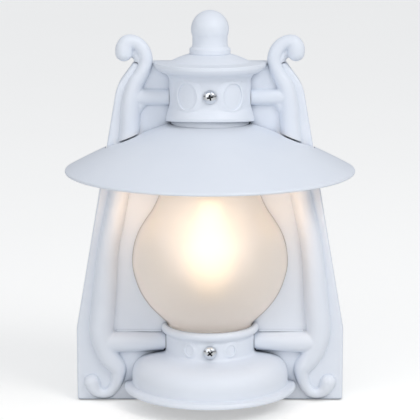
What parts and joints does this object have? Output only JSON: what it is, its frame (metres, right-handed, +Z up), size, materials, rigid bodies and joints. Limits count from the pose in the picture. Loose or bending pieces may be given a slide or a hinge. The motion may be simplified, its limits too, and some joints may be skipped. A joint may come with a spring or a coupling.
{
  "type": "outdoor wall light",
  "caption": "White painted wall lantern: scroll-armed wall plate, half-round hood with ball finial, wide conical shade, frosted half glass over a small-cap lamp, and a rounded base.",
  "frame": {"origin": "midway between the two wall-screw holes, in the plane of the wall", "axes": "+Z up, +Y into the wall, +X to the right as seen from the room"},
  "size_m": [0.216, 0.13, 0.2976],
  "materials": {
    "plate_paint": "smooth satin powder coat",
    "scroll_paint": "smooth satin powder coat over a casting",
    "hood_paint": "smooth satin powder coat",
    "zinc_steel": "zinc plated",
    "shade_paint": "smooth satin powder coat on spun sheet",
    "frosted_glass": "acid-etched, diffusing",
    "grey_rubber": "matt",
    "base_paint": "smooth satin powder coat",
    "chromed_screw": "bright plated",
    "turned_brass": "turned",
    "holder_plastic": "moulded thermoset",
    "holder_ceramic": "pressed ceramic",
    "opal_glass": "opal, lit",
    "cap_metal": "nickel plated",
    "cap_insulator": "black glass with a solder point",
    "black_rubber": "matt",
    "block_plastic": "moulded",
    "brown_lead": "insulated lead",
    "blue_lead": "insulated lead",
    "green_lead": "insulated lead",
    "foam_rubber": "closed-cell foam"
  },
  "bodies": {
    "fixture": {"wall_plate": "plate_paint", "scroll_left": "scroll_paint", "scroll_right": "scroll_paint", "shade": "shade_paint", "pillar_upper": "zinc_steel", "pillar_lower": "zinc_steel", "lamp_bracket": "zinc_steel", "bracket_screws": "zinc_steel", "nipple": "turned_brass", "nipple_nut": "turned_brass", "lampholder_body": "holder_plastic", "lampholder_core": "holder_ceramic", "lampholder_shell": "turned_brass", "lampholder_contact": "turned_brass", "lampholder_screws": "turned_brass", "wire_grommet": "black_rubber", "terminal_block": "block_plastic", "terminal_clamps": "turned_brass", "terminal_screws": "zinc_steel", "earth_screw": "turned_brass", "wire_live": "brown_lead", "wire_neutral": "blue_lead", "wire_earth": "green_lead", "wall_gasket": "foam_rubber"},
    "hood": {"hood": "hood_paint", "finial": "hood_paint", "finial_nut": "zinc_steel"},
    "hood_screw": {"upper_screw": "chromed_screw"},
    "gallery": {"base_shell": "base_paint", "globe": "frosted_glass", "globe_seal": "grey_rubber"},
    "gallery_screw": {"lower_screw": "chromed_screw"},
    "lamp": {"bulb_glass": "opal_glass", "bulb_cap": "cap_metal", "bulb_contact": "cap_insulator"}
  },
  "joints": [
    {"name": "hood_off", "type": "slide", "parent": "fixture", "child": "hood", "axis": [0, -1, 0], "range_m": [0, 0.06]},
    {"name": "hood_screw_turn", "type": "hinge", "parent": "hood", "child": "hood_screw", "pos_m": [0, -0.052, 0.0963], "axis": [0, 1, 0], "range_deg": [-1800, 0]},
    {"name": "gallery_off", "type": "slide", "parent": "fixture", "child": "gallery", "axis": [0, -1, 0], "range_m": [0, 0.05]},
    {"name": "gallery_screw_turn", "type": "hinge", "parent": "gallery", "child": "gallery_screw", "pos_m": [0, -0.055, -0.0939], "axis": [0, 1, 0], "range_deg": [-1800, 0]},
    {"name": "lamp_turn", "type": "hinge", "parent": "fixture", "child": "lamp", "pos_m": [0, -0.0382, 0], "axis": [0, 0, 1], "range_deg": [-1080, 0]}
  ]
}
